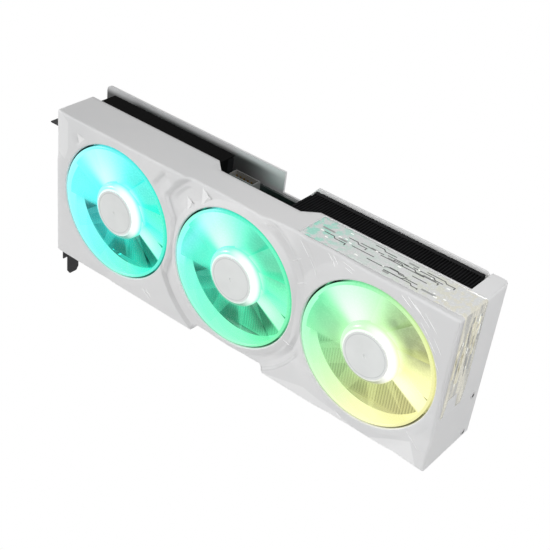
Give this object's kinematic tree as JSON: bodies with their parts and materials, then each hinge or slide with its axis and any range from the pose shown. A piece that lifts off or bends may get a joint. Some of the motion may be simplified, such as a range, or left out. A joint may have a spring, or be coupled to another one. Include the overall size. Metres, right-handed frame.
{
  "type": "graphics card",
  "caption": "Long graphics card with round fans in a white shroud, a lit translucent corner panel, fin stacks with heat pipes, a backplate and a two-slot bracket.",
  "frame": {"origin": "centre line of the key slot on the lower edge of the contact edge, at the middle of the board", "axes": "+X from the bracket to the tail, +Y from the fan face to the backplate, +Z away from the slot"},
  "size_m": [0.3235, 0.0537, 0.1392],
  "materials": {
    "shroud_plastic": "matte white moulded plastic",
    "panel_plastic": "translucent pale panel lit from below",
    "lamp": "lamp strip",
    "white_metal": "satin white paint",
    "black_metal": "satin black coating",
    "black_sheet": "smooth black coating",
    "board": "black solder mask",
    "gold": "gold plate",
    "package": "green laminate",
    "silicon": "polished silicon",
    "chip_black": "moulded black resin",
    "pad": "soft heat-conducting pad",
    "ferrite": "pressed ferrite",
    "bright_metal": "bright plated steel",
    "socket_plastic": "light grey moulded plastic",
    "lead": "black sleeved lead",
    "copper": "bare copper",
    "plain_aluminium": "plain aluminium",
    "bronze": "sintered bronze",
    "core_steel": "stacked core sheets",
    "fan_board": "green solder mask",
    "fan_plastic": "clear frosted plastic lit from the hub",
    "cap_plastic": "light grey plastic",
    "magnet": "bonded magnet ring",
    "shaft_steel": "ground steel"
  },
  "bodies": {
    "card": {"front_shroud": "shroud_plastic", "corner_panel": "panel_plastic", "panel_lamps": "lamp", "backplate": "white_metal", "slot_bracket": "black_metal", "circuit_board": "board", "edge_contacts": "gold", "processor_base": "package", "processor_die": "silicon", "memory_chips": "chip_black", "memory_pads": "pad", "power_stages": "chip_black", "chokes": "ferrite", "capacitors": "bright_metal", "power_socket": "socket_plastic", "power_pins": "gold", "video_socket_1": "bright_metal", "video_socket_2": "bright_metal", "video_socket_3": "bright_metal", "video_socket_4": "bright_metal", "socket_tongues": "chip_black", "fan_headers": "socket_plastic", "fan_leads": "lead", "cold_plate": "copper", "cooling_plate": "plain_aluminium", "heat_pipes": "copper", "fins_left": "black_metal", "fins_middle": "black_metal", "fins_right": "black_metal", "fin_cover": "black_sheet", "bottom_rail": "plain_aluminium", "retention_spring": "bright_metal", "retention_screws": "bright_metal", "standoffs": "bright_metal", "backplate_screws": "black_metal", "bracket_screws": "bright_metal", "tail_bracket": "plain_aluminium", "end_screws": "black_metal", "shroud_screws": "bright_metal", "fan_screws": "bright_metal", "fan_bearings": "bronze", "fan_stators": "core_steel", "fan_coils": "copper", "fan_boards": "fan_board", "fan_left_frame": "shroud_plastic", "fan_middle_frame": "shroud_plastic", "fan_right_frame": "shroud_plastic"},
    "fan_left": {"fan_left_rotor": "fan_plastic", "fan_left_cap": "cap_plastic", "fan_left_magnet": "magnet", "fan_left_shaft": "shaft_steel"},
    "fan_middle": {"fan_middle_rotor": "fan_plastic", "fan_middle_cap": "cap_plastic", "fan_middle_magnet": "magnet", "fan_middle_shaft": "shaft_steel"},
    "fan_right": {"fan_right_rotor": "fan_plastic", "fan_right_cap": "cap_plastic", "fan_right_magnet": "magnet", "fan_right_shaft": "shaft_steel"}
  },
  "joints": [
    {"name": "fan_left_spin", "type": "hinge", "parent": "card", "child": "fan_left", "pos_m": [0.00425, -0.0367, 0.0717], "axis": [0, 1, 0], "continuous": true},
    {"name": "fan_middle_spin", "type": "hinge", "parent": "card", "child": "fan_middle", "pos_m": [0.10395, -0.0367, 0.0717], "axis": [0, 1, 0], "continuous": true},
    {"name": "fan_right_spin", "type": "hinge", "parent": "card", "child": "fan_right", "pos_m": [0.20365, -0.0367, 0.0717], "axis": [0, 1, 0], "continuous": true}
  ]
}
